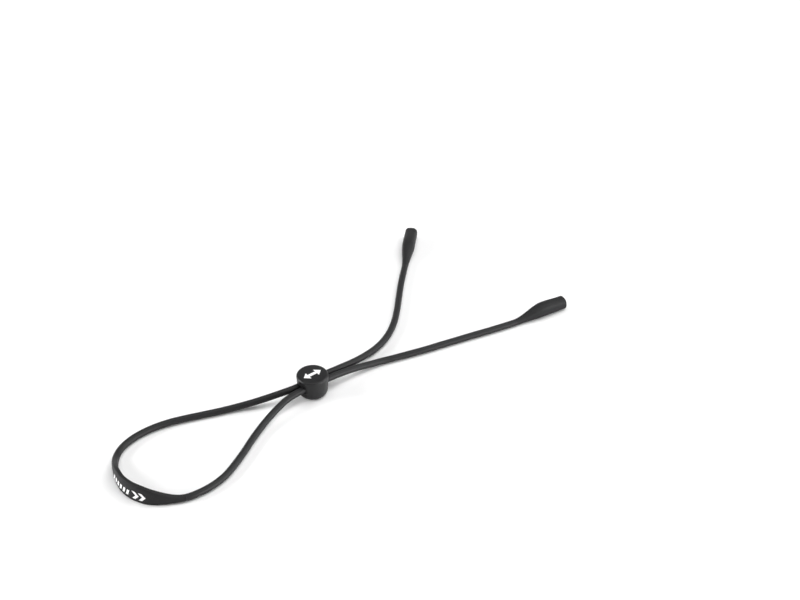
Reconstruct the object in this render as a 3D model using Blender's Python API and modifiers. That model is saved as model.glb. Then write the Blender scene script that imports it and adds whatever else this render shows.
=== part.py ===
"""Eyeglasses retainer cord: two temple sleeves, two cords, a neck band and a friction slider.

Metres, +Z up. The origin is the middle of the slider's base, which stands on the floor. +X is the way
the slider travels towards the sleeves, and +Y is the wearer's left. The strap is laid out on the floor.
"""
import math

import bmesh
import bpy
import numpy as np
from mathutils import Vector

MM = 0.001
FIT_GAP = 0.3 * MM  # between pieces that touch on the real strap
CREASE_DEGREES = 40  # edges sharper than this stay sharp in smooth shading

# Cords
CORD_DIAMETER = 3.45 * MM
CORD_RADIUS = CORD_DIAMETER / 2
CORD_POINT_STEP = 2.2 * CORD_DIAMETER
CORD_BEVEL_RESOLUTION = 2
STRAND_SPREAD = 3.8 * MM  # between the two cords' centre lines inside the slider
STRAND_HEIGHT = 5.9 * MM  # of those centre lines above the floor

# Slider
SLIDER_DIAMETER = 16 * MM
SLIDER_FOOT_DIAMETER = 15.2 * MM
SLIDER_HEIGHT = 11.5 * MM
SLIDER_TOP_FILLET = 1.0 * MM
SLIDER_FOOT_FILLET_WIDTH = 2.2 * MM
SLIDER_FOOT_FILLET_HEIGHT = 3.0 * MM
SLIDER_SEGMENTS = 56
FILLET_SEGMENTS = 5
CAVITY_RADIUS = 5.1 * MM
CORD_CLEARANCE = 0.3 * MM
CAVITY_CEILING = STRAND_HEIGHT + CORD_RADIUS + CORD_CLEARANCE
HOLE_HALF_HEIGHT = CORD_RADIUS + CORD_CLEARANCE
HOLE_END_SEGMENTS = 10  # round each half circle of the hole
PLUG_FLANGE_THICKNESS = 1.8 * MM
PLUG_BOSS_RADIUS = 4.2 * MM
PLUG_BOSS_HEIGHT = 2.6 * MM
PLUG_CHAMFER = 0.4 * MM
PAD_RADIUS = 4.7 * MM
PAD_TOP = STRAND_HEIGHT - 0.9 * MM
SEAM_MERGE = 0.01 * MM

# Temple sleeves
SLEEVE_LENGTH = 30.5 * MM
SLEEVE_TAPER_LENGTH = 17.5 * MM  # from the neck to the full section
SLEEVE_WIDTH = 6.85 * MM
SLEEVE_DEPTH = 7.4 * MM
MOUTH_WIDTH_SHARE = 0.98  # the section at the mouth against the full section
MOUTH_DEPTH_SHARE = 0.88
SLEEVE_RIM_ROUND = 0.4 * MM
SLEEVE_SECTION_POWER = 2.6  # 2 is an ellipse, more is squarer
BORE_WIDTH = 4.1 * MM
BORE_DEPTH = 5.0 * MM
BORE_LENGTH = 21 * MM
BORE_END_SHARE = 0.7  # the section at the blind end against the section at the mouth
SLEEVE_SIDES = 24
SLEEVE_TAPER_STEPS = 12
SLEEVE_BODY_STEPS = 3
BORE_STEPS = 4

# Neck band
BAND_THICKNESS = 2.4 * MM
BAND_HEIGHT = 10.0 * MM
BAND_TAPER_LENGTH = 23 * MM
BAND_SECTION_POWER = 6
BAND_SIDES = 24
BAND_RINGS = 31

# Routes, in millimetres, chosen along the strap as it lies. The first and last points of a cord are
# the faces that it meets.
LEFT_NECK = (101.0, 54.2)
LEFT_SLEEVE_HEADING = 45.1  # degrees from +X, from the neck to the mouth
RIGHT_NECK = (115.6, -20.6)
RIGHT_SLEEVE_HEADING = -6.5
STEER_LENGTH = 6.0  # how far into a sleeve the point that steers a cord's first stretch lies
FLOOR = CORD_RADIUS / MM  # height of the centre line of a cord that lies on the floor
SIDE = STRAND_SPREAD / 2 / MM
HOLE = STRAND_HEIGHT / MM
TILT = 0.1  # the cords run through the hole a little higher at its rear end
BAND_ROUTE = [
    (-102.2, 18.3), (-106.2, 14.0), (-109.4, 8.6), (-112.1, 2.0), (-113.3, -5.5), (-112.0, -12.9),
    (-108.7, -18.9), (-103.5, -23.1), (-93.4, -27.9),
]
LEFT_ROUTE = [
    (*LEFT_NECK, FLOOR), (95.6, 49.0, FLOOR), (88.2, 41.6, FLOOR), (80.9, 33.8, FLOOR),
    (73.7, 26.1, FLOOR), (66.4, 19.0, FLOOR), (58.6, 13.1, FLOOR), (50.7, 8.9, FLOOR),
    (42.9, 6.4, 1.8), (35.1, 4.6, 2.5), (27.0, 3.0, 3.8), (18.5, 2.1, 5.1),
    (9.5, SIDE, HOLE - TILT), (0.0, SIDE, HOLE), (-9.5, SIDE, HOLE + TILT),
    (-16.0, 3.2, 5.6), (-23.0, 5.8, 4.3), (-30.4, 8.7, 3.0), (-38.4, 11.9, 2.0),
    (-46.4, 14.6, FLOOR), (-54.4, 17.4, FLOOR), (-62.9, 20.4, FLOOR), (-71.9, 22.9, FLOOR),
    (-81.5, 24.0, FLOOR), (-90.0, 23.4, FLOOR), (-97.1, 21.3, FLOOR),
    (*BAND_ROUTE[0], FLOOR),
]
RIGHT_ROUTE = [
    (*RIGHT_NECK, FLOOR), (109.1, -19.4, FLOOR), (101.1, -17.7, FLOOR), (92.0, -15.6, FLOOR),
    (83.0, -13.6, FLOOR), (74.0, -11.6, FLOOR), (65.5, -9.8, FLOOR), (57.0, -7.7, FLOOR),
    (48.5, -5.5, FLOOR), (40.5, -3.4, 1.9), (33.0, -2.5, 2.8), (26.0, -2.0, 3.9),
    (18.0, -1.9, 5.0), (9.5, -SIDE, HOLE - TILT), (0.0, -SIDE, HOLE), (-9.5, -SIDE, HOLE + TILT),
    (-16.5, -2.2, 5.4), (-23.0, -3.4, 4.2), (-30.0, -5.5, 3.0), (-37.5, -8.6, 2.1),
    (-45.0, -12.6, FLOOR), (-53.5, -17.8, FLOOR), (-62.0, -22.6, FLOOR), (-71.0, -26.8, FLOOR),
    (-79.5, -28.7, FLOOR), (-87.3, -28.9, FLOOR), (*BAND_ROUTE[-1], FLOOR),
]

# Colours are linear RGB.
CHARCOAL = (0.045, 0.045, 0.047)
GRAPHITE = (0.035, 0.035, 0.037)
PAD_GREY = (0.08, 0.08, 0.08)


def clear_scene():
    """Remove every object and collection that is already in the file."""
    for obj in list(bpy.data.objects):
        bpy.data.objects.remove(obj)
    for collection in list(bpy.data.collections):
        bpy.data.collections.remove(collection)


def new_collection(name):
    """A collection linked to the scene."""
    collection = bpy.data.collections.new(name)
    bpy.context.scene.collection.children.link(collection)
    return collection


def make_material(name, color, roughness):
    """A plain non-metallic Principled material."""
    material = bpy.data.materials.new(name)
    material.use_nodes = True
    shader = material.node_tree.nodes["Principled BSDF"]
    shader.inputs["Base Color"].default_value = (*color, 1)
    shader.inputs["Roughness"].default_value = roughness
    shader.inputs["Metallic"].default_value = 0
    return material


def add_object(name, data, collection, material=None):
    """An object with this data, in this collection."""
    obj = bpy.data.objects.new(name, data)
    collection.objects.link(obj)
    if material:
        data.materials.append(material)
    return obj


def smooth_step(value):
    """0 to 1 with level ends."""
    value = min(max(value, 0.0), 1.0)
    return value * value * (3 - 2 * value)


def smooth_curve(before, points, after, samples=24):
    """A dense centripetal Catmull-Rom curve through the points. The two outer points only steer its ends."""
    rows = np.array([before, *points, after], float)
    knots = np.concatenate([[0], np.cumsum(np.sqrt(np.linalg.norm(np.diff(rows, axis=0), axis=1)))])
    dense = []
    for i in range(1, len(rows) - 2):
        k0, k1, k2, k3 = knots[i - 1 : i + 3]
        p0, p1, p2, p3 = rows[i - 1 : i + 3]
        for k in np.linspace(k1, k2, samples, endpoint=False):
            a1 = (k1 - k) / (k1 - k0) * p0 + (k - k0) / (k1 - k0) * p1
            a2 = (k2 - k) / (k2 - k1) * p1 + (k - k1) / (k2 - k1) * p2
            a3 = (k3 - k) / (k3 - k2) * p2 + (k - k2) / (k3 - k2) * p3
            b1 = (k2 - k) / (k2 - k0) * a1 + (k - k0) / (k2 - k0) * a2
            b2 = (k3 - k) / (k3 - k1) * a2 + (k - k1) / (k3 - k1) * a3
            dense.append((k2 - k) / (k2 - k1) * b1 + (k - k1) / (k2 - k1) * b2)
    dense.append(rows[-2])
    return np.array(dense)


def read_evenly(dense, count, trim=0.0):
    """count points at even distances along a dense curve, leaving trim off each end."""
    along = np.concatenate([[0], np.cumsum(np.linalg.norm(np.diff(dense, axis=0), axis=1))])
    wanted = np.linspace(trim, along[-1] - trim, count)
    return np.column_stack([np.interp(wanted, along, dense[:, i]) for i in range(dense.shape[1])])


def polar(degrees, length):
    """A level offset of this length at this heading from +X."""
    turn = math.radians(degrees)
    return np.array((length * math.cos(turn), length * math.sin(turn), 0.0))


def cord_points(route, heading_degrees, band_point):
    """The centre line of a cord from a sleeve to the neck band, in metres, never sunk into the floor."""
    before = np.array(route[0]) + polar(heading_degrees, STEER_LENGTH)
    dense = smooth_curve(before, route, (*band_point, FLOOR)) * MM
    length = np.linalg.norm(np.diff(dense, axis=0), axis=1).sum()
    points = read_evenly(dense, round(length / CORD_POINT_STEP), FIT_GAP)
    points[:, 2] = np.maximum(points[:, 2], CORD_RADIUS)
    return points


def make_cord(name, points, collection, material):
    """A cord as a POLY curve with a round bevel."""
    curve = bpy.data.curves.new(name, "CURVE")
    curve.dimensions = "3D"
    curve.bevel_depth = CORD_RADIUS
    curve.bevel_resolution = CORD_BEVEL_RESOLUTION
    curve.use_fill_caps = True
    spline = curve.splines.new("POLY")
    spline.points.add(len(points) - 1)
    for spline_point, point in zip(spline.points, points):
        spline_point.co = (*point, 1)
    return add_object(name, curve, collection, material)


def super_ellipse(width, depth, power, sides):
    """An outline of this width and depth about the origin, as sides pairs."""
    pairs = []
    for i in range(sides):
        turn = 2 * math.pi * i / sides
        c, s = math.cos(turn), math.sin(turn)
        u = math.copysign(abs(c) ** (2 / power), c) * width / 2
        v = math.copysign(abs(s) ** (2 / power), s) * depth / 2
        pairs.append((u, v))
    return pairs


def loft(name, rings, collection, material):
    """A closed body through rings of equal counts, with a face over the first and the last."""
    bm = bmesh.new()
    loops = [[bm.verts.new(point) for point in ring] for ring in rings]
    for loop, after in zip(loops, loops[1:]):
        for i in range(len(loop)):
            j = (i + 1) % len(loop)
            bm.faces.new((loop[i], loop[j], after[j], after[i]))
    bm.faces.new(list(reversed(loops[0])))
    bm.faces.new(loops[-1])
    bmesh.ops.recalc_face_normals(bm, faces=bm.faces)
    mesh = bpy.data.meshes.new(name)
    bm.to_mesh(mesh)
    bm.free()
    mesh.shade_smooth()
    mesh.set_sharp_from_angle(angle=math.radians(CREASE_DEGREES))
    return add_object(name, mesh, collection, material)


def sleeve_section(distance):
    """(width, depth, power) of the sleeve's outside at this distance from its neck."""
    swell = smooth_step(distance / SLEEVE_TAPER_LENGTH)
    past = max(0.0, distance - SLEEVE_TAPER_LENGTH) / (SLEEVE_LENGTH - SLEEVE_TAPER_LENGTH)
    width = CORD_DIAMETER + (SLEEVE_WIDTH - CORD_DIAMETER) * swell
    depth = CORD_DIAMETER + (SLEEVE_DEPTH - CORD_DIAMETER) * swell
    width *= 1 - (1 - MOUTH_WIDTH_SHARE) * smooth_step(past)
    depth *= 1 - (1 - MOUTH_DEPTH_SHARE) * smooth_step(past)
    return width, depth, 2 + (SLEEVE_SECTION_POWER - 2) * swell


def bore_section(distance):
    """(width, depth, power) of the blind socket at this distance from the neck."""
    share = smooth_step((distance - (SLEEVE_LENGTH - BORE_LENGTH)) / BORE_LENGTH)
    scale = BORE_END_SHARE + (1 - BORE_END_SHARE) * share
    return BORE_WIDTH * scale, BORE_DEPTH * scale, SLEEVE_SECTION_POWER


def make_sleeve(name, neck, heading_degrees, collection, material):
    """A temple sleeve: swells from the cord's size at its neck to a hollow socket, and lies on the floor."""
    ahead = Vector(polar(heading_degrees, 1))
    aside = Vector((-ahead.y, ahead.x, 0))
    start = Vector((*neck, 0)) * MM

    def ring(distance, section, inset=0.0):
        width, depth, power = section
        # the outside rests on the floor, and the socket shares the outside's centre line
        height = sleeve_section(distance)[1] / 2
        outline = super_ellipse(width - 2 * inset, depth - 2 * inset, power, SLEEVE_SIDES)
        return [start + ahead * distance + aside * u + Vector((0, 0, height + v)) for u, v in outline]

    rings = []
    for i in range(SLEEVE_TAPER_STEPS + 1):
        distance = SLEEVE_TAPER_LENGTH * i / SLEEVE_TAPER_STEPS
        rings.append(ring(distance, sleeve_section(distance)))
    rim_start = SLEEVE_LENGTH - SLEEVE_RIM_ROUND
    for i in range(1, SLEEVE_BODY_STEPS + 1):
        distance = SLEEVE_TAPER_LENGTH + (rim_start - SLEEVE_TAPER_LENGTH) * i / SLEEVE_BODY_STEPS
        rings.append(ring(distance, sleeve_section(distance)))
    for turn in (math.pi / 4, math.pi / 2):
        distance = rim_start + SLEEVE_RIM_ROUND * math.sin(turn)
        inset = SLEEVE_RIM_ROUND * (1 - math.cos(turn))
        rings.append(ring(distance, sleeve_section(distance), inset))
    for i in range(BORE_STEPS + 1):
        distance = SLEEVE_LENGTH - BORE_LENGTH * i / BORE_STEPS
        rings.append(ring(distance, bore_section(distance)))
    return loft(name, rings, collection, material)


def make_neck_band(left_points, right_points, collection, material):
    """The flat strip at the closed end of the loop, on its edge, tapering into a cord at each end."""
    dense = smooth_curve(LEFT_ROUTE[-2][:2], BAND_ROUTE, RIGHT_ROUTE[-2][:2]) * MM
    centre = read_evenly(dense, BAND_RINGS)
    # the end faces are square to the cords' last stretches, so that the faces that meet are parallel
    ahead_of = np.gradient(centre, axis=0)
    ahead_of[0] = (left_points[-1] - left_points[-2])[:2]
    ahead_of[-1] = (right_points[-2] - right_points[-1])[:2]
    steps = np.linalg.norm(np.diff(centre, axis=0), axis=1)
    along = np.concatenate([[0], np.cumsum(steps)])
    length = along[-1]
    rings = []
    for i, (x, y) in enumerate(centre):
        ahead = Vector((*ahead_of[i], 0)).normalized()
        aside = Vector((-ahead.y, ahead.x, 0))
        flatness = smooth_step(min(along[i], length - along[i]) / BAND_TAPER_LENGTH)
        thickness = CORD_DIAMETER + (BAND_THICKNESS - CORD_DIAMETER) * flatness
        height = CORD_DIAMETER + (BAND_HEIGHT - CORD_DIAMETER) * flatness
        power = 2 + (BAND_SECTION_POWER - 2) * flatness
        outline = super_ellipse(thickness, height, power, BAND_SIDES)
        middle = Vector((x, y, height / 2))
        rings.append([middle + aside * u + Vector((0, 0, v)) for u, v in outline])
    return loft("neck_band", rings, collection, material)


def turned(name, profile, collection, material):
    """A body of revolution about Z from (radius, height) pairs that run from the top down."""
    mesh = bpy.data.meshes.new(name)
    points = [(radius, 0, height) for radius, height in profile]
    edges = [(i, i + 1) for i in range(len(points) - 1)]
    mesh.from_pydata(points, edges, [])
    obj = add_object(name, mesh, collection, material)
    screw = obj.modifiers.new("turn", "SCREW")
    screw.steps = SLIDER_SEGMENTS
    screw.render_steps = SLIDER_SEGMENTS
    screw.use_merge_vertices = True
    screw.merge_threshold = SEAM_MERGE
    screw.use_normal_calculate = True
    return obj


def apply_modifiers(obj):
    """Swap the object's mesh for its evaluated one, and drop its modifiers."""
    depsgraph = bpy.context.evaluated_depsgraph_get()
    mesh = bpy.data.meshes.new_from_object(obj.evaluated_get(depsgraph))
    obj.modifiers.clear()
    obj.data = mesh
    return obj


def fillet(radius, height, width, rise, first_degrees):
    """Points of a quarter oval this wide and high about (radius, height), turning clockwise."""
    turns = [math.radians(first_degrees - 90 * i / FILLET_SEGMENTS) for i in range(FILLET_SEGMENTS + 1)]
    return [(radius + width * math.cos(turn), height + rise * math.sin(turn)) for turn in turns]


def cut(obj, cutter):
    """Take the cutter out of the object with an exact Boolean."""
    boolean = obj.modifiers.new("cut", "BOOLEAN")
    boolean.operation = "DIFFERENCE"
    boolean.solver = "EXACT"
    boolean.object = cutter
    cutter.hide_render = True
    cutter.display_type = "WIRE"


def strand_cutter(name, radius, spread, cutters):
    """A bar along X with a stadium section: two rounds of this radius, spread apart, about the cords."""
    half = spread / 2
    outline = []
    for side in (1, -1):
        for i in range(HOLE_END_SEGMENTS + 1):
            turn = math.radians(-90 + 180 * i / HOLE_END_SEGMENTS)
            outline.append((side * (half + radius * math.cos(turn)), side * radius * math.sin(turn)))
    reach = SLIDER_DIAMETER
    rings = [[(x, y, STRAND_HEIGHT + z) for y, z in outline] for x in (-reach, reach)]
    return loft(name, rings, cutters, None)


def make_slider_shell(collection, cutters, material):
    """The bead: flat top, rounded edges, a cavity open at the bottom and one hole for both cords."""
    top = SLIDER_DIAMETER / 2 - SLIDER_TOP_FILLET
    foot = SLIDER_FOOT_DIAMETER / 2 - SLIDER_FOOT_FILLET_WIDTH
    profile = [(0, SLIDER_HEIGHT)]
    profile += fillet(top, SLIDER_HEIGHT - SLIDER_TOP_FILLET, SLIDER_TOP_FILLET, SLIDER_TOP_FILLET, 90)
    profile += fillet(foot, SLIDER_FOOT_FILLET_HEIGHT, SLIDER_FOOT_FILLET_WIDTH, SLIDER_FOOT_FILLET_HEIGHT, 0)
    profile += [(CAVITY_RADIUS, 0), (CAVITY_RADIUS, CAVITY_CEILING), (0, CAVITY_CEILING)]
    shell = apply_modifiers(turned("slider_shell", profile, collection, material))
    hole = strand_cutter("cord_hole_cutter", HOLE_HALF_HEIGHT, STRAND_SPREAD, cutters)
    cut(shell, hole)
    return shell


def make_base_plug(collection, material):
    """The round plug that closes the shell from below, with a boss that backs the grip pad."""
    flange = CAVITY_RADIUS - FIT_GAP
    profile = [
        (0, PLUG_BOSS_HEIGHT),
        (PLUG_BOSS_RADIUS, PLUG_BOSS_HEIGHT),
        (PLUG_BOSS_RADIUS, PLUG_FLANGE_THICKNESS),
        (flange, PLUG_FLANGE_THICKNESS),
        (flange, PLUG_CHAMFER),
        (flange - PLUG_CHAMFER, 0),
        (0, 0),
    ]
    return turned("slider_base_plug", profile, collection, material)


def make_grip_pad(collection, cutters, material):
    """The elastomer saddle under the cords, grooved for both."""
    bottom = PLUG_BOSS_HEIGHT + FIT_GAP
    profile = [(0, PAD_TOP), (PAD_RADIUS, PAD_TOP), (PAD_RADIUS, bottom), (0, bottom)]
    pad = apply_modifiers(turned("slider_grip_pad", profile, collection, material))
    for side in (1, -1):
        groove = strand_cutter(f"groove_cutter_{side:+d}", HOLE_HALF_HEIGHT, 0.0, cutters)
        groove.location.y = side * STRAND_SPREAD / 2
        cut(pad, groove)
    return pad


def shade_round(obj):
    """Smooth shading with sharp edges kept, on a body of revolution."""
    obj.data.shade_smooth()
    obj.data.set_sharp_from_angle(angle=math.radians(CREASE_DEGREES))


def build():
    clear_scene()
    strap = new_collection("eyeglasses_retainer_cord")
    cutters = new_collection("cutters")
    silicone = make_material("charcoal_silicone", CHARCOAL, 0.6)
    shell_plastic = make_material("graphite_soft_touch", GRAPHITE, 0.55)
    pad_rubber = make_material("grip_rubber", PAD_GREY, 0.8)

    make_sleeve("left_temple_sleeve", LEFT_NECK, LEFT_SLEEVE_HEADING, strap, silicone)
    make_sleeve("right_temple_sleeve", RIGHT_NECK, RIGHT_SLEEVE_HEADING, strap, silicone)
    left_points = cord_points(LEFT_ROUTE, LEFT_SLEEVE_HEADING, BAND_ROUTE[1])
    right_points = cord_points(RIGHT_ROUTE, RIGHT_SLEEVE_HEADING, BAND_ROUTE[-2])
    make_cord("left_cord", left_points, strap, silicone)
    make_cord("right_cord", right_points, strap, silicone)
    make_neck_band(left_points, right_points, strap, silicone)
    shell = make_slider_shell(strap, cutters, shell_plastic)
    plug = apply_modifiers(make_base_plug(strap, shell_plastic))
    pad = make_grip_pad(strap, cutters, pad_rubber)
    for piece in (shell, plug, pad):
        shade_round(piece)


build()
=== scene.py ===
"""The look of the eyeglasses retainer cord, in matte silicone and plastic with white prints.

Metres, in the CAD's frame. The origin is the middle of the slider's base on the floor, +X is the way the
slider travels towards the sleeves, and +Z is up.
"""
import math

import bmesh
import bpy
import numpy as np
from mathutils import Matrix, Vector


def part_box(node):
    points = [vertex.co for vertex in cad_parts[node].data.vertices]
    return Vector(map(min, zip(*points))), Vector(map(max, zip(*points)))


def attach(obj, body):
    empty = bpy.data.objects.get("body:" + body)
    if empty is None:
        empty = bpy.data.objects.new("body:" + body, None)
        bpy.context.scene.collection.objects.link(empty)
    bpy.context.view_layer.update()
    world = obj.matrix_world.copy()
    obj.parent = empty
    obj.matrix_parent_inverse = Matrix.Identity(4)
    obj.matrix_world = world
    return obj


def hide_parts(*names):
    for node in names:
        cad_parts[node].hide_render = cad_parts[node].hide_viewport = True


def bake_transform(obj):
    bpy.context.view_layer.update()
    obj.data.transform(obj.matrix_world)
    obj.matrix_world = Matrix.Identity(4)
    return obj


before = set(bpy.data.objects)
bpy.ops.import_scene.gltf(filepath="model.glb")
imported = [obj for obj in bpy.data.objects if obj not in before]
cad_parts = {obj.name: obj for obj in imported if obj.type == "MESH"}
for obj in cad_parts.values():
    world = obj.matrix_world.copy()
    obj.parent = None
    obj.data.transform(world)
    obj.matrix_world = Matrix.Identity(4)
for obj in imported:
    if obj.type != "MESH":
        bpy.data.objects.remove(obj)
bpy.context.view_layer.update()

MM = 0.001
CURVE_SAMPLES = 24  # on a curve between two of its points
CREASE_DEGREES = 40  # a sharper edge than this isn't shaded smooth
STRAP = "strap"
SLIDER = "slider"

# Camera
CAMERA_TARGET = Vector((81.6, 33.7, 0.0)) * MM
CAMERA_DISTANCE = 1.0369
CAMERA_AZIMUTH = -38.0
CAMERA_ELEVATION = 36.8
LENS = 87.75
SENSOR_WIDTH = 36.0
CLIP_START = 0.01

# Cords
CORD_RADIUS = 1.725 * MM
CORD_STEP = 1.2 * MM
CORD_SIDES = 24
STRAND_SPREAD = 3.8 * MM
STRAND_HEIGHT = 5.9 * MM
BLEND_NEAR = 9.0 * MM  # along X from the slider's middle

# Routes of the cords and the band, in millimetres, as the CAD model lays them
LEFT_NECK = (101.0, 54.2)
LEFT_HEADING = 45.1  # degrees from +X, from a sleeve's neck to its mouth
RIGHT_NECK = (115.6, -20.6)
RIGHT_HEADING = -6.5
STEER_LENGTH = 6.0  # how far past a route's first point its heading is set
FLOOR = CORD_RADIUS / MM  # height of a cord's middle where it lies on the floor
SIDE = STRAND_SPREAD / 2 / MM  # of each cord from the hole's middle
HOLE = STRAND_HEIGHT / MM  # height of the cords in the hole
TILT = 0.1  # the cords run through the hole a little higher at its rear end
BAND_ROUTE = [
    (-102.2, 18.3), (-106.2, 14.0), (-109.4, 8.6), (-112.1, 2.0), (-113.3, -5.5), (-112.0, -12.9),
    (-108.7, -18.9), (-103.5, -23.1), (-93.4, -27.9),
]
LEFT_ROUTE = [
    (*LEFT_NECK, FLOOR), (95.6, 49.0, FLOOR), (88.2, 41.6, FLOOR), (80.9, 33.8, FLOOR),
    (73.7, 26.1, FLOOR), (66.4, 19.0, FLOOR), (58.6, 13.1, FLOOR), (50.7, 8.9, FLOOR),
    (42.9, 6.4, 1.8), (35.1, 4.6, 2.5), (27.0, 3.0, 3.8), (18.5, 2.1, 5.1),
    (9.5, SIDE, HOLE - TILT), (0.0, SIDE, HOLE), (-9.5, SIDE, HOLE + TILT),
    (-16.0, 3.2, 5.6), (-23.0, 5.8, 4.3), (-30.4, 8.7, 3.0), (-38.4, 11.9, 2.0),
    (-46.4, 14.6, FLOOR), (-54.4, 17.4, FLOOR), (-62.9, 20.4, FLOOR), (-71.9, 22.9, FLOOR),
    (-81.5, 24.0, FLOOR), (-90.0, 23.4, FLOOR), (-97.1, 21.3, FLOOR),
    (*BAND_ROUTE[0], FLOOR),
]
RIGHT_ROUTE = [
    (*RIGHT_NECK, FLOOR), (109.1, -19.4, FLOOR), (101.1, -17.7, FLOOR), (92.0, -15.6, FLOOR),
    (83.0, -13.6, FLOOR), (74.0, -11.6, FLOOR), (65.5, -9.8, FLOOR), (57.0, -7.7, FLOOR),
    (48.5, -5.5, FLOOR), (40.5, -3.4, 1.9), (33.0, -2.5, 2.8), (26.0, -2.0, 3.9),
    (18.0, -1.9, 5.0), (9.5, -SIDE, HOLE - TILT), (0.0, -SIDE, HOLE), (-9.5, -SIDE, HOLE + TILT),
    (-16.5, -2.2, 5.4), (-23.0, -3.4, 4.2), (-30.0, -5.5, 3.0), (-37.5, -8.6, 2.1),
    (-45.0, -12.6, FLOOR), (-53.5, -17.8, FLOOR), (-62.0, -22.6, FLOOR), (-71.0, -26.8, FLOOR),
    (-79.5, -28.7, FLOOR), (-87.3, -28.9, FLOOR), (*BAND_ROUTE[-1], FLOOR),
]

# Temple sleeves
SLEEVE_LENGTH = 30.5 * MM
SLEEVE_TAPER = 17.5 * MM
SLEEVE_WIDTH = 6.85 * MM
SLEEVE_DEPTH = 7.4 * MM
MOUTH_WIDTH_SHARE = 0.98
MOUTH_DEPTH_SHARE = 0.88
SLEEVE_POWER = 2.6
RIM_ROUND = 0.4 * MM
LIP_ROUND = 0.3 * MM
BORE_WIDTH = 4.1 * MM
BORE_DEPTH = 5.0 * MM
BORE_LENGTH = 21 * MM
BORE_END_SHARE = 0.7
SLEEVE_SIDES = 64
OUTSIDE_RINGS = 44
RIM_RINGS = 7
LIP_RINGS = 6
BORE_RINGS = 18
BLIND_RINGS = 5

# Neck band
BAND_THICKNESS = 2.4 * MM
BAND_HEIGHT = 10.0 * MM
BAND_TAPER = 23 * MM
BAND_POWER = 6
BAND_SIDES = 56
BAND_RINGS = 97

# Slider
SLIDER_SEGMENTS = 96
TOP_FILLET = 1.0 * MM
FOOT_RADIUS = 7.6 * MM
FOOT_FILLET_WIDTH = 2.2 * MM
FOOT_FILLET_HEIGHT = 3.0 * MM
CAVITY_RADIUS = 5.1 * MM
CAVITY_CEILING = STRAND_HEIGHT + CORD_RADIUS + 0.3 * MM
CORD_GAP = 0.08 * MM  # the hole hugs the cords
HOLE_ROUND = 0.3 * MM  # of the hole's outer edge
HOLE_SIDES = 24  # round each half circle of the hole
FLARE_DEGREES = 80  # of a quarter round, at the hole's outer edge
FLARE_STEPS = 8
CORNER_STEPS = 10

# Prints
INK_PROUD = 0.03 * MM
INK_SUNK = 0.03 * MM
PATCH_CELLS = 8

# Bars and chevrons on the band, in millimetres along it from its left end and up from the floor
BAR_COUNT = 6
BAR_START = 17.6
BAR_PITCH = 2.5
BAR_WIDTH = 1.3
BAR_LEAN = 1.1
BAR_LOW = 2.4
BAR_HIGH = 5.6
CHEVRON_COUNT = 2
CHEVRON_START = 34.0
CHEVRON_PITCH = 3.4
CHEVRON_WIDTH = 1.7
CHEVRON_TIP = 1.9
CHEVRON_MIDDLE = 4.2
CHEVRON_REACH = 2.2

# Arrow on the slider
ARROW_HALF_LENGTH = 5.2 * MM
ARROW_HALF_NECK = 2.3 * MM
ARROW_HALF_SHAFT = 0.85 * MM
ARROW_HALF_HEAD = 2.5 * MM

# Colours, in linear RGB
SILICONE_DARK = (0.0125, 0.0125, 0.0130)
SILICONE_LIGHT = (0.0175, 0.0175, 0.0182)
PLASTIC_DARK = (0.0105, 0.0105, 0.0110)
PLASTIC_LIGHT = (0.0140, 0.0140, 0.0145)
PAD_DARK = (0.045, 0.045, 0.045)
PAD_LIGHT = (0.060, 0.060, 0.060)
DUST = (0.22, 0.22, 0.22)
INK = (0.86, 0.86, 0.86)
INK_WORN = (0.62, 0.62, 0.62)
FLOOR_WHITE = (0.90, 0.90, 0.90)

# Textures, in noise cells a metre
MOTTLE_SCALE = 900
SPECK_SCALE = 2600
WEAR_SCALE = 1500
STREAK_SCALE = (40, 26, 1)  # for a metre along a cord, and for one turn round it
DUST_SHARE = 0.10
BUMP_STRENGTH = 0.6

# Stage
FLOOR_SIZE = 1.5
FLOOR_DROP = 0.02 * MM  # keeps the floor clear of what lies on it
HORIZON_LIGHT = 1.0
ZENITH_LIGHT = 0.04
FADE_FROM, FADE_TO = 0.05, 0.20  # its light falls off between these, from 0 at the horizon to 1 overhead
LIGHTS = [  # name, degrees from the camera's azimuth, elevation, distance, size, watts
    ("overhead", 0, 88, 2.0, 2.0, 24),
    ("high_right", 120, 50, 1.6, 1.1, 12),
    ("low_right", 60, 7, 1.4, 0.7, 20),
    ("side_right", 92, 9, 1.4, 0.6, 10),
    ("low_left", -90, 16, 1.4, 0.8, 26),
    ("low_back", 180, 16, 1.4, 0.9, 2),
]


def smooth_step(value):
    """0 to 1 with level ends."""
    value = min(max(value, 0.0), 1.0)
    return value * value * (3 - 2 * value)


def smooth_curve(before, points, after):
    """A dense centripetal Catmull-Rom curve through the points. The two outer points only steer its ends."""
    rows = np.array([before, *points, after], float)
    knots = np.concatenate([[0], np.cumsum(np.sqrt(np.linalg.norm(np.diff(rows, axis=0), axis=1)))])
    dense = []
    for i in range(1, len(rows) - 2):
        k0, k1, k2, k3 = knots[i - 1 : i + 3]
        p0, p1, p2, p3 = rows[i - 1 : i + 3]
        for k in np.linspace(k1, k2, CURVE_SAMPLES, endpoint=False):
            a1 = (k1 - k) / (k1 - k0) * p0 + (k - k0) / (k1 - k0) * p1
            a2 = (k2 - k) / (k2 - k1) * p1 + (k - k1) / (k2 - k1) * p2
            a3 = (k3 - k) / (k3 - k2) * p2 + (k - k2) / (k3 - k2) * p3
            b1 = (k2 - k) / (k2 - k0) * a1 + (k - k0) / (k2 - k0) * a2
            b2 = (k3 - k) / (k3 - k1) * a2 + (k - k1) / (k3 - k1) * a3
            dense.append((k2 - k) / (k2 - k1) * b1 + (k - k1) / (k2 - k1) * b2)
    dense.append(rows[-2])
    return np.array(dense)


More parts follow.
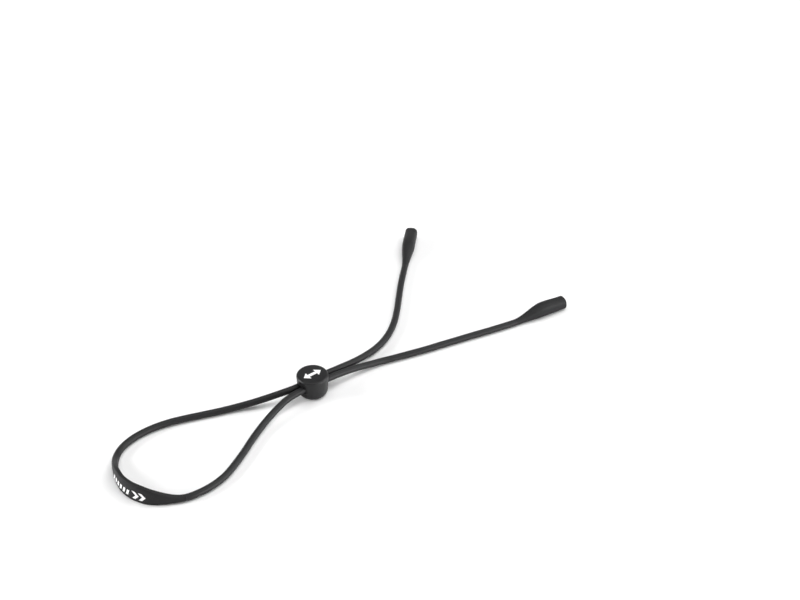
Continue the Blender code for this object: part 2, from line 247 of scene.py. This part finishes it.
def lengths_along(points):
    """The distance along a line at each of its points."""
    return np.concatenate([[0], np.cumsum(np.linalg.norm(np.diff(points, axis=0), axis=1))])


def read_evenly(dense, count):
    """count points at even distances along a dense curve."""
    along = lengths_along(dense)
    wanted = np.linspace(0, along[-1], count)
    return np.column_stack([np.interp(wanted, along, dense[:, i]) for i in range(dense.shape[1])])


def full_turn(count):
    """count even angles round a circle, in radians."""
    return [2 * math.pi * i / count for i in range(count)]


def super_ellipse(width, depth, power, sides):
    """An outline of this width and depth about the origin, as sides pairs."""
    pairs = []
    for turn in full_turn(sides):
        c, s = math.cos(turn), math.sin(turn)
        u = math.copysign(abs(c) ** (2 / power), c) * width / 2
        v = math.copysign(abs(s) ** (2 / power), s) * depth / 2
        pairs.append((u, v))
    return pairs


def direction(azimuth, elevation):
    """The unit vector from the origin towards this azimuth, counted from -Y, and elevation, in degrees."""
    a, e = math.radians(azimuth), math.radians(elevation)
    return Vector((math.sin(a) * math.cos(e), -math.cos(a) * math.cos(e), math.sin(e)))


def place_looking(obj, location, away_from):
    """Put a camera or a light here in the scene, looking the opposite way to away_from."""
    obj.location = location
    obj.rotation_mode = "QUATERNION"
    obj.rotation_quaternion = (-away_from).to_track_quat("-Z", "Y")
    bpy.context.scene.collection.objects.link(obj)


def add_mesh(name, bm, material):
    """An object from a bmesh, smooth but for its creases."""
    bmesh.ops.recalc_face_normals(bm, faces=bm.faces)
    mesh = bpy.data.meshes.new(name)
    bm.to_mesh(mesh)
    bm.free()
    mesh.shade_smooth()
    mesh.set_sharp_from_angle(angle=math.radians(CREASE_DEGREES))
    mesh.materials.append(material)
    obj = bpy.data.objects.new(name, mesh)
    bpy.context.scene.collection.objects.link(obj)
    return obj


def loft(name, rings, material):
    """A closed body through rings of equal counts, with a UV map of metres along and share around."""
    bm = bmesh.new()
    uv = bm.loops.layers.uv.new("along")
    loops = [[bm.verts.new(point) for point in ring] for ring in rings]
    centres = np.array([np.mean([tuple(p) for p in ring], axis=0) for ring in rings])
    along = lengths_along(centres)
    sides = len(rings[0])
    for k, (loop, after) in enumerate(zip(loops, loops[1:])):
        for i in range(sides):
            j = (i + 1) % sides
            face = bm.faces.new((loop[i], loop[j], after[j], after[i]))
            corners = ((along[k], i), (along[k], i + 1), (along[k + 1], i + 1), (along[k + 1], i))
            for corner, (u, v) in zip(face.loops, corners):
                corner[uv].uv = (u, v / sides)
    bm.faces.new(list(reversed(loops[0])))
    bm.faces.new(loops[-1])
    return add_mesh(name, bm, material)


# Materials


def node(tree, kind, **values):
    """A node with these input values, by input name."""
    made = tree.nodes.new(kind)
    for key, value in values.items():
        made.inputs[key.replace("_", " ")].default_value = value
    return made


def noise(tree, vector, scale, detail, roughness):
    """A noise texture's value over these coordinates."""
    made = node(tree, "ShaderNodeTexNoise", Scale=scale, Detail=detail, Roughness=roughness)
    tree.links.new(vector, made.inputs["Vector"])
    return made.outputs["Fac"]


def spread_to(tree, value, low, high, from_low=0.3, from_high=0.7):
    """A value stretched from one range to another."""
    made = node(tree, "ShaderNodeMapRange", From_Min=from_low, From_Max=from_high, To_Min=low, To_Max=high)
    tree.links.new(value, made.inputs["Value"])
    return made.outputs["Result"]


def grained(name, dark, light, roughness, specular, grain_scale, grain_depth, streaks=False):
    """Matte moulded elastomer or plastic: fine grain, slow mottling, faint dust and uneven sheen."""
    material = bpy.data.materials.new(name)
    material.use_nodes = True
    tree = material.node_tree
    shader = tree.nodes["Principled BSDF"]
    shader.inputs["Specular IOR Level"].default_value = specular
    place = tree.nodes.new("ShaderNodeTexCoord").outputs["Object"]
    mottle = noise(tree, place, MOTTLE_SCALE, 6, 0.75)
    speck = noise(tree, place, SPECK_SCALE, 2, 0.5)
    grain = noise(tree, place, grain_scale, 3, 0.6)

    mix = node(tree, "ShaderNodeMix")
    mix.data_type = "RGBA"
    mix.inputs["A"].default_value = (*dark, 1)
    mix.inputs["B"].default_value = (*light, 1)
    tree.links.new(spread_to(tree, mottle, 0.0, 1.0), mix.inputs["Factor"])
    dust = node(tree, "ShaderNodeMix")
    dust.data_type = "RGBA"
    dust.inputs["B"].default_value = (*DUST, 1)
    tree.links.new(mix.outputs["Result"], dust.inputs["A"])
    tree.links.new(spread_to(tree, speck, 0.0, DUST_SHARE, 0.62, 0.80), dust.inputs["Factor"])
    tree.links.new(dust.outputs["Result"], shader.inputs["Base Color"])
    low, high = roughness
    tree.links.new(spread_to(tree, mottle, low, high), shader.inputs["Roughness"])

    height = grain
    if streaks:
        uv = tree.nodes.new("ShaderNodeUVMap")
        uv.uv_map = "along"
        scale = node(tree, "ShaderNodeMapping", Scale=STREAK_SCALE)
        tree.links.new(uv.outputs["UV"], scale.inputs["Vector"])
        streak = noise(tree, scale.outputs["Vector"], 1, 2, 0.5)
        both = node(tree, "ShaderNodeMath")
        both.operation = "ADD"
        tree.links.new(grain, both.inputs[0])
        tree.links.new(streak, both.inputs[1])
        height = both.outputs["Value"]
    bump = node(tree, "ShaderNodeBump", Strength=BUMP_STRENGTH, Distance=grain_depth)
    tree.links.new(height, bump.inputs["Height"])
    tree.links.new(bump.outputs["Normal"], shader.inputs["Normal"])
    return material


def ink_material():
    """White pad-printed ink, a little uneven and chipped to grey."""
    material = bpy.data.materials.new("white_ink")
    material.use_nodes = True
    tree = material.node_tree
    shader = tree.nodes["Principled BSDF"]
    shader.inputs["Roughness"].default_value = 0.5
    place = tree.nodes.new("ShaderNodeTexCoord").outputs["Object"]
    mix = node(tree, "ShaderNodeMix")
    mix.data_type = "RGBA"
    mix.inputs["A"].default_value = (*INK, 1)
    mix.inputs["B"].default_value = (*INK_WORN, 1)
    worn = spread_to(tree, noise(tree, place, WEAR_SCALE, 4, 0.65), 0.0, 1.0, 0.58, 0.72)
    tree.links.new(worn, mix.inputs["Factor"])
    tree.links.new(mix.outputs["Result"], shader.inputs["Base Color"])
    return material


cord_silicone = grained(
    "cord_silicone", SILICONE_DARK, SILICONE_LIGHT, roughness=(0.38, 0.54), specular=0.20,
    grain_scale=5200, grain_depth=0.010 * MM, streaks=True,
)
moulded_silicone = grained(
    "moulded_silicone", SILICONE_DARK, SILICONE_LIGHT, roughness=(0.48, 0.62), specular=0.16,
    grain_scale=4600, grain_depth=0.012 * MM,
)
slider_plastic = grained(
    "slider_plastic", PLASTIC_DARK, PLASTIC_LIGHT, roughness=(0.34, 0.44), specular=0.26,
    grain_scale=6500, grain_depth=0.008 * MM,
)
grip_rubber = grained(
    "grip_rubber", PAD_DARK, PAD_LIGHT, roughness=(0.70, 0.85), specular=0.30,
    grain_scale=4200, grain_depth=0.014 * MM,
)
white_ink = ink_material()


# Camera


def make_camera():
    """The scene's camera, aimed at its target."""
    back = direction(CAMERA_AZIMUTH, CAMERA_ELEVATION)
    data = bpy.data.cameras.new("camera")
    data.sensor_width = SENSOR_WIDTH
    data.lens = LENS
    data.clip_start = CLIP_START
    camera = bpy.data.objects.new("camera", data)
    place_looking(camera, CAMERA_TARGET + back * CAMERA_DISTANCE, back)
    bpy.context.scene.camera = camera


make_camera()


# Cords


def heading(degrees):
    """A level unit vector at this heading from +X."""
    turn = math.radians(degrees)
    return np.array((math.cos(turn), math.sin(turn), 0.0))


def full_line(route, degrees, band_point):
    """The whole centre line of a cord, from its sleeve to the band, in metres."""
    before = np.array(route[0]) + heading(degrees) * STEER_LENGTH
    dense = smooth_curve(before, route, (*band_point, FLOOR)) * MM
    dense[:, 2] = np.maximum(dense[:, 2], CORD_RADIUS)
    return dense


def half_line(line, ahead):
    """The part of a cord's line on the sleeves' side of the slider's middle, or on the band's side."""
    middle = int(np.argmin(np.abs(line[:, 0])))
    part = line[: middle + 1] if ahead else line[middle:]
    return read_evenly(part, round(lengths_along(part)[-1] / CORD_STEP) + 1)


def tube_rings(line, radius, sides):
    """Round rings square to a line, with their first point on the wearer's side of it."""
    tangents = np.gradient(line, axis=0)
    tangents /= np.linalg.norm(tangents, axis=1)[:, None]
    rings = []
    for point, tangent in zip(line, tangents):
        aside = np.cross((0, 0, 1), tangent)
        aside /= np.linalg.norm(aside)
        up = np.cross(tangent, aside)
        rings.append([point + radius * (math.cos(t) * aside + math.sin(t) * up) for t in full_turn(sides)])
    return rings


def make_cord(name, line, cad_node, fixed_end):
    """One run of cord between the slider and what it is fixed to."""
    cord = loft(name, tube_rings(line, CORD_RADIUS, CORD_SIDES), cord_silicone)
    ends = sorted((line[0], line[-1]), key=lambda point: abs(point[0]))
    inner = Vector(ends[0])
    inner.x = math.copysign(BLEND_NEAR, fixed_end[0])
    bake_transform(cord)
    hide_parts(cad_node)


left_line = full_line(LEFT_ROUTE, LEFT_HEADING, BAND_ROUTE[1])
right_line = full_line(RIGHT_ROUTE, RIGHT_HEADING, BAND_ROUTE[-2])
for side, line in (("left", left_line), ("right", right_line)):
    front = half_line(line, True)
    rear = half_line(line, False)
    make_cord(f"{side}_cord_front", front, f"{side}_cord", Vector(front[0]))
    make_cord(f"{side}_cord_rear", rear, f"{side}_cord", Vector(rear[-1]))


# Temple sleeves


def sleeve_section(distance):
    """(width, depth, power) of the sleeve's outside at this distance from its neck."""
    swell = smooth_step(distance / SLEEVE_TAPER)
    past = max(0.0, distance - SLEEVE_TAPER) / (SLEEVE_LENGTH - SLEEVE_TAPER)
    width = 2 * CORD_RADIUS + (SLEEVE_WIDTH - 2 * CORD_RADIUS) * swell
    depth = 2 * CORD_RADIUS + (SLEEVE_DEPTH - 2 * CORD_RADIUS) * swell
    width *= 1 - (1 - MOUTH_WIDTH_SHARE) * smooth_step(past)
    depth *= 1 - (1 - MOUTH_DEPTH_SHARE) * smooth_step(past)
    return width, depth, 2 + (SLEEVE_POWER - 2) * swell


def bore_section(distance):
    """(width, depth, power) of the blind socket at this distance from the neck."""
    share = smooth_step((distance - (SLEEVE_LENGTH - BORE_LENGTH)) / BORE_LENGTH)
    scale = BORE_END_SHARE + (1 - BORE_END_SHARE) * share
    return BORE_WIDTH * scale, BORE_DEPTH * scale, SLEEVE_POWER


def make_sleeve(name, neck, degrees):
    """A temple sleeve: swells out of the cord, with a soft-edged mouth and a blind socket."""
    ahead = Vector(heading(degrees))
    aside = Vector((-ahead.y, ahead.x, 0))
    start = Vector((*neck, 0)) * MM

    def ring(distance, section, inset):
        """Points round the sleeve at this distance, moved in by inset."""
        width, depth, power = section
        height = sleeve_section(distance)[1] / 2
        outline = super_ellipse(width - 2 * inset, depth - 2 * inset, power, SLEEVE_SIDES)
        return [start + ahead * distance + aside * u + Vector((0, 0, height + v)) for u, v in outline]

    rings = []
    for distance in np.linspace(0, SLEEVE_LENGTH - RIM_ROUND, OUTSIDE_RINGS):
        rings.append(ring(distance, sleeve_section(distance), 0))
    for turn in np.linspace(0, math.pi / 2, RIM_RINGS)[1:]:
        distance = SLEEVE_LENGTH - RIM_ROUND * (1 - math.sin(turn))
        rings.append(ring(distance, sleeve_section(distance), RIM_ROUND * (1 - math.cos(turn))))
    for turn in np.linspace(math.pi / 2, 0, LIP_RINGS):
        distance = SLEEVE_LENGTH - LIP_ROUND * (1 - math.sin(turn))
        rings.append(ring(distance, bore_section(distance), -LIP_ROUND * (1 - math.cos(turn))))
    end = SLEEVE_LENGTH - BORE_LENGTH
    for distance in np.linspace(SLEEVE_LENGTH - LIP_ROUND, end + LIP_ROUND, BORE_RINGS)[1:]:
        rings.append(ring(distance, bore_section(distance), 0))
    for turn in np.linspace(0, math.pi / 2, BLIND_RINGS)[1:]:
        distance = end + LIP_ROUND * (1 - math.sin(turn))
        rings.append(ring(distance, bore_section(distance), LIP_ROUND * (1 - math.cos(turn))))
    sleeve = loft(name, rings, moulded_silicone)
    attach(sleeve, STRAP)
    return sleeve


left_sleeve = make_sleeve("left_sleeve", LEFT_NECK, LEFT_HEADING)
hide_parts("left_temple_sleeve")
right_sleeve = make_sleeve("right_sleeve", RIGHT_NECK, RIGHT_HEADING)
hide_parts("right_temple_sleeve")


# Neck band

band_line = read_evenly(smooth_curve(LEFT_ROUTE[-2][:2], BAND_ROUTE, RIGHT_ROUTE[-2][:2]) * MM, BAND_RINGS)
band_along = lengths_along(band_line)
band_ahead = np.gradient(band_line, axis=0)
band_ahead /= np.linalg.norm(band_ahead, axis=1)[:, None]


def band_section(distance):
    """(thickness, height, power) of the band at this distance from its left end."""
    flatness = smooth_step(min(distance, band_along[-1] - distance) / BAND_TAPER)
    thickness = 2 * CORD_RADIUS + (BAND_THICKNESS - 2 * CORD_RADIUS) * flatness
    height = 2 * CORD_RADIUS + (BAND_HEIGHT - 2 * CORD_RADIUS) * flatness
    return thickness, height, 2 + (BAND_POWER - 2) * flatness


def band_frame(distance):
    """(centre on the floor, level unit vector towards the loop's inside) at this distance."""
    centre = [np.interp(distance, band_along, band_line[:, i]) for i in range(2)]
    ahead = [np.interp(distance, band_along, band_ahead[:, i]) for i in range(2)]
    return Vector((*centre, 0)), Vector((-ahead[1], ahead[0], 0)).normalized()


band_rings = []
for distance in band_along:
    thickness, height, power = band_section(distance)
    centre, inward = band_frame(distance)
    outline = super_ellipse(thickness, height, power, BAND_SIDES)
    band_rings.append([centre + inward * u + Vector((0, 0, height / 2 + v)) for u, v in outline])
band = loft("neck_band_strip", band_rings, moulded_silicone)
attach(band, STRAP)
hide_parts("neck_band")


def band_outside(distance, height_above, proud):
    """A point on the band's outer face, moved out by proud."""
    thickness, height, power = band_section(distance)
    centre, inward = band_frame(distance)
    share = min(1.0, abs(2 * height_above / height - 1))
    half = thickness / 2 * (1 - share**power) ** (1 / power)
    return centre - inward * (half + proud) + Vector((0, 0, height_above))


def print_on_band(name, corners):
    """A thin white patch with this four-cornered outline of (distance, height) pairs, in millimetres."""
    cells = PATCH_CELLS
    bm = bmesh.new()
    layers = []
    for proud in (INK_PROUD, -INK_SUNK):
        grid = []
        for i in range(cells + 1):
            row = []
            for j in range(cells + 1):
                u, v = i / cells, j / cells
                weights = ((1 - u) * (1 - v), u * (1 - v), u * v, (1 - u) * v)
                distance = sum(w * c[0] for w, c in zip(weights, corners)) * MM
                height_above = sum(w * c[1] for w, c in zip(weights, corners)) * MM
                row.append(bm.verts.new(band_outside(distance, height_above, proud)))
            grid.append(row)
        layers.append(grid)
    for grid in layers:
        for i in range(cells):
            for j in range(cells):
                bm.faces.new((grid[i][j], grid[i + 1][j], grid[i + 1][j + 1], grid[i][j + 1]))
    top, bottom = layers
    rim = [(i, 0) for i in range(cells)] + [(cells, j) for j in range(cells)]
    rim += [(i, cells) for i in range(cells, 0, -1)] + [(0, j) for j in range(cells, 0, -1)]
    for (i, j), (k, l) in zip(rim, rim[1:] + rim[:1]):
        bm.faces.new((top[i][j], top[k][l], bottom[k][l], bottom[i][j]))
    patch = add_mesh(name, bm, white_ink)
    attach(patch, STRAP)


for i in range(BAR_COUNT):
    left = BAR_START + BAR_PITCH * i
    right = left + BAR_WIDTH
    print_on_band(
        f"band_bar_{i + 1}",
        ((left, BAR_LOW), (right, BAR_LOW), (right + BAR_LEAN, BAR_HIGH), (left + BAR_LEAN, BAR_HIGH)),
    )
for i in range(CHEVRON_COUNT):
    left = CHEVRON_START + CHEVRON_PITCH * i
    right = left + CHEVRON_WIDTH
    for part, reach in (("low", -CHEVRON_REACH), ("high", CHEVRON_REACH)):
        end = CHEVRON_MIDDLE + reach
        tip = CHEVRON_MIDDLE
        print_on_band(
            f"band_chevron_{i + 1}_{part}",
            ((left, end), (right, end), (right + CHEVRON_TIP, tip), (left + CHEVRON_TIP, tip)),
        )


# Slider


def round_corner(radius, height, width, rise, first_degrees):
    """Points of a quarter oval this wide and high about (radius, height), turning clockwise."""
    turns = [math.radians(first_degrees - 90 * i / CORNER_STEPS) for i in range(CORNER_STEPS + 1)]
    return [(radius + width * math.cos(t), height + rise * math.sin(t)) for t in turns]


def revolve(name, profile, material):
    """A closed body of revolution about Z from (radius, height) pairs that start and end on the axis."""
    bm = bmesh.new()
    first = bm.verts.new((0, 0, profile[0][1]))
    last = bm.verts.new((0, 0, profile[-1][1]))
    loops = []
    for radius, height in profile[1:-1]:
        ring = [(radius * math.cos(t), radius * math.sin(t), height) for t in full_turn(SLIDER_SEGMENTS)]
        loops.append([bm.verts.new(point) for point in ring])
    for i in range(SLIDER_SEGMENTS):
        j = (i + 1) % SLIDER_SEGMENTS
        bm.faces.new((first, loops[0][i], loops[0][j]))
        bm.faces.new((last, loops[-1][j], loops[-1][i]))
        for loop, after in zip(loops, loops[1:]):
            bm.faces.new((loop[i], after[i], after[j], loop[j]))
    return add_mesh(name, bm, material)


def make_hole_cutter(radius, straight_top):
    """A bar along X with a stadium section for both cords, flared where it leaves the bead's side."""
    outline = []
    for side in (1, -1):
        for i in range(HOLE_SIDES + 1):
            turn = math.radians(-90 + 180 * i / HOLE_SIDES)
            outline.append((side * STRAND_SPREAD / 2, side * math.cos(turn), side * math.sin(turn)))

    def ring(end, spread, sink):
        """Points round the hole, widened by spread and this deep in the bead's side, at +X or -X."""
        points = []
        for middle, across, up in outline:
            reach = CORD_RADIUS + CORD_GAP + spread
            y, z = middle + reach * across, STRAND_HEIGHT + reach * up
            share = (z - FOOT_FILLET_HEIGHT) / (straight_top - FOOT_FILLET_HEIGHT)
            side_radius = FOOT_RADIUS + (radius - FOOT_RADIUS) * share
            points.append((end * (math.sqrt(side_radius**2 - y**2) - sink), y, z))
        return points

    flare = [math.radians(FLARE_DEGREES * i / FLARE_STEPS) for i in range(FLARE_STEPS + 1)]
    half = [(HOLE_ROUND * (1 - math.cos(t)), HOLE_ROUND * (1 - math.sin(t))) for t in flare]
    half.append((half[-1][0], -radius))
    rings = [ring(-1, *pair) for pair in reversed(half)] + [ring(1, *pair) for pair in half]
    return loft("hole_cutter", rings, slider_plastic)


def make_shell():
    """The bead: a round shell, open below, with one hole through its side for both cords."""
    low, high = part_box("slider_shell")
    radius = (high.x - low.x) / 2
    top = high.z
    profile = [(0, top)]
    profile += round_corner(radius - TOP_FILLET, top - TOP_FILLET, TOP_FILLET, TOP_FILLET, 90)
    profile += round_corner(
        FOOT_RADIUS - FOOT_FILLET_WIDTH, FOOT_FILLET_HEIGHT, FOOT_FILLET_WIDTH, FOOT_FILLET_HEIGHT, 0
    )
    profile += [(CAVITY_RADIUS, 0), (CAVITY_RADIUS, CAVITY_CEILING), (0, CAVITY_CEILING)]
    shell = revolve("slider_bead", profile, slider_plastic)
    cutter = make_hole_cutter(radius, top - TOP_FILLET)
    boolean = shell.modifiers.new("hole", "BOOLEAN")
    boolean.operation = "DIFFERENCE"
    boolean.solver = "EXACT"
    boolean.object = cutter
    depsgraph = bpy.context.evaluated_depsgraph_get()
    mesh = bpy.data.meshes.new_from_object(shell.evaluated_get(depsgraph))
    shell.modifiers.clear()
    shell.data = mesh
    bpy.data.objects.remove(cutter)
    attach(shell, SLIDER)
    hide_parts("slider_shell")


make_shell()
for cad_node, material in (("slider_base_plug", slider_plastic), ("slider_grip_pad", grip_rubber)):
    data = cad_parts[cad_node].data
    data.materials.clear()
    data.materials.append(material)


def print_on_slider():
    """A plain double-headed arrow along the way the slider moves."""
    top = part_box("slider_shell")[1].z
    half, neck = ARROW_HALF_LENGTH, ARROW_HALF_NECK
    shaft, head = ARROW_HALF_SHAFT, ARROW_HALF_HEAD
    outline = [
        (half, 0), (neck, head), (neck, shaft), (-neck, shaft), (-neck, head),
        (-half, 0), (-neck, -head), (-neck, -shaft), (neck, -shaft), (neck, -head),
    ]
    bm = bmesh.new()
    levels = [[bm.verts.new((x, y, z)) for x, y in outline] for z in (top - INK_SUNK, top + INK_PROUD)]
    bm.faces.new(list(reversed(levels[0])))
    bm.faces.new(levels[1])
    for i in range(len(outline)):
        j = (i + 1) % len(outline)
        bm.faces.new((levels[0][i], levels[0][j], levels[1][j], levels[1][i]))
    arrow = add_mesh("slider_arrow", bm, white_ink)
    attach(arrow, SLIDER)


print_on_slider()


# Floor and light


def make_floor():
    """A plain pale floor, just under the object."""
    bpy.ops.mesh.primitive_plane_add(size=FLOOR_SIZE, location=(0, 0, -FLOOR_DROP))
    floor = bpy.context.object
    floor.name = "floor"
    material = bpy.data.materials.new("floor")
    material.use_nodes = True
    shader = material.node_tree.nodes["Principled BSDF"]
    shader.inputs["Base Color"].default_value = (*FLOOR_WHITE, 1)
    shader.inputs["Roughness"].default_value = 0.9
    shader.inputs["Specular IOR Level"].default_value = 0.1
    floor.data.materials.append(material)


def soft_box(name, azimuth, elevation, distance, size, power):
    """A square area light that faces the origin from this direction."""
    towards = direction(azimuth, elevation)
    data = bpy.data.lights.new(name, "AREA")
    data.shape = "SQUARE"
    data.size = size
    data.energy = power
    place_looking(bpy.data.objects.new(name, data), towards * distance, towards)


def make_world(horizon, zenith):
    """A white surround that is bright at and below the horizon and falls off above it."""
    world = bpy.data.worlds.new("studio")
    world.use_nodes = True
    tree = world.node_tree
    background = tree.nodes["Background"]
    background.inputs["Color"].default_value = (1, 1, 1, 1)
    direction = tree.nodes.new("ShaderNodeTexCoord").outputs["Generated"]
    split = tree.nodes.new("ShaderNodeSeparateXYZ")
    tree.links.new(direction, split.inputs["Vector"])
    strength = spread_to(tree, split.outputs["Z"], horizon, zenith, FADE_FROM, FADE_TO)
    tree.links.new(strength, background.inputs["Strength"])
    bpy.context.scene.world = world


make_floor()
make_world(HORIZON_LIGHT, ZENITH_LIGHT)
for name, turn, *rest in LIGHTS:
    soft_box(name, CAMERA_AZIMUTH + turn, *rest)
bpy.context.scene.view_settings.view_transform = "Standard"
